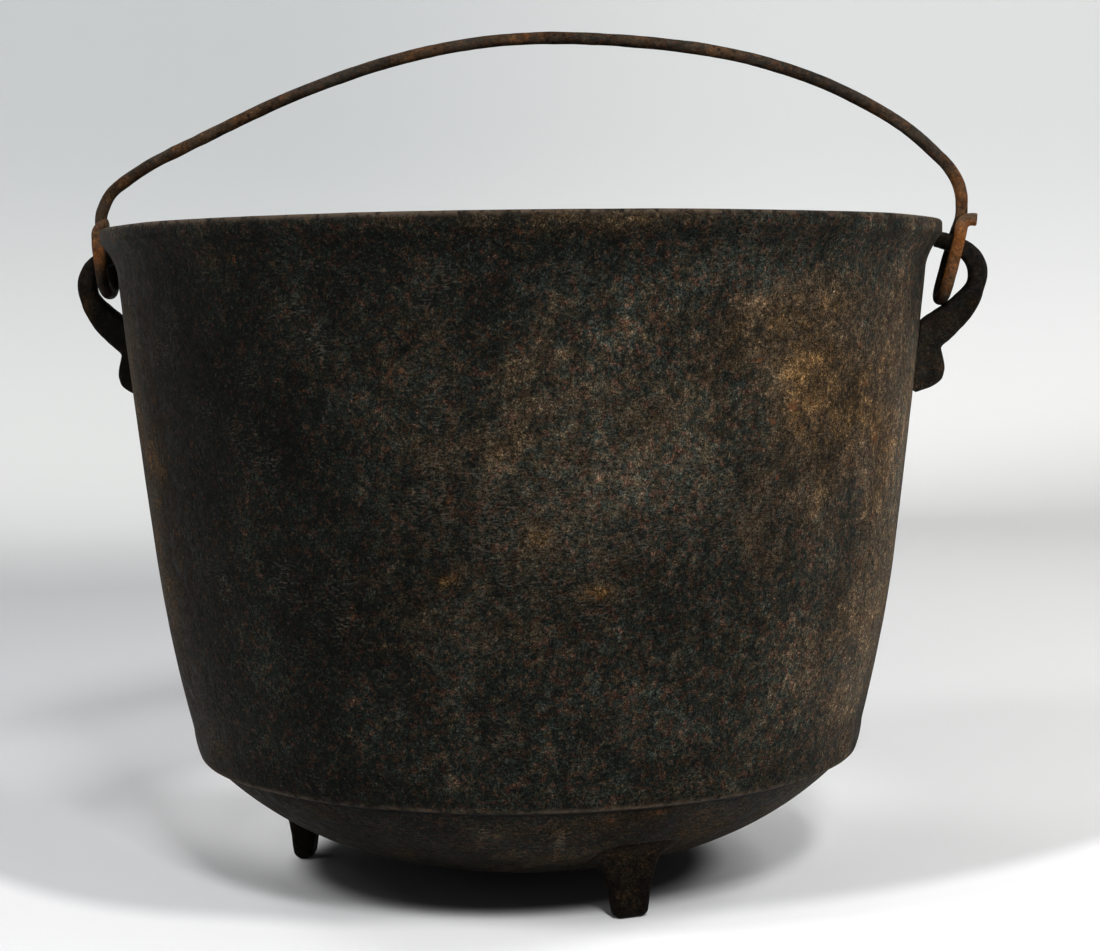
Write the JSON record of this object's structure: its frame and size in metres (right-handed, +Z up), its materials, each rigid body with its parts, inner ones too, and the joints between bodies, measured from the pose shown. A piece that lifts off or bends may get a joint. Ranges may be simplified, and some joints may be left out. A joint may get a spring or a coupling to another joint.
{
  "type": "stew pot",
  "caption": "Open cast-iron stew pot with a flared rim, a stepped round belly on short feet, loop ears and a swinging wire bail.",
  "frame": {"origin": "on the ground, under the pot's axis", "axes": "+Z up along the pot's axis; +X towards the right ear; the front is towards -Y"},
  "size_m": [0.3104, 0.28, 0.2826],
  "materials": {
    "shell_iron": "matt as-cast iron, dark grey-brown, mottled with brown and ochre rust",
    "ear_iron": "matt as-cast iron, near black with a little rust",
    "foot_iron": "matt as-cast iron, dark, worn at the tips",
    "bow_wire": "bare iron wire, dull and darkened, with brown rust",
    "hook_wire": "bare iron wire, dull, with orange rust"
  },
  "bodies": {
    "pot": {"pot_shell": "shell_iron", "left_ear": "ear_iron", "right_ear": "ear_iron", "left_foot": "foot_iron", "front_foot": "foot_iron", "back_foot": "foot_iron"},
    "bail": {"bail_bow": "bow_wire", "left_bail_hook": "hook_wire", "right_bail_hook": "hook_wire"}
  },
  "joints": [
    {"name": "bail_hinge", "type": "hinge", "parent": "pot", "child": "bail", "pos_m": [0, 0, 0.209], "axis": [1, 0, 0], "range_deg": [-62, 62]}
  ]
}
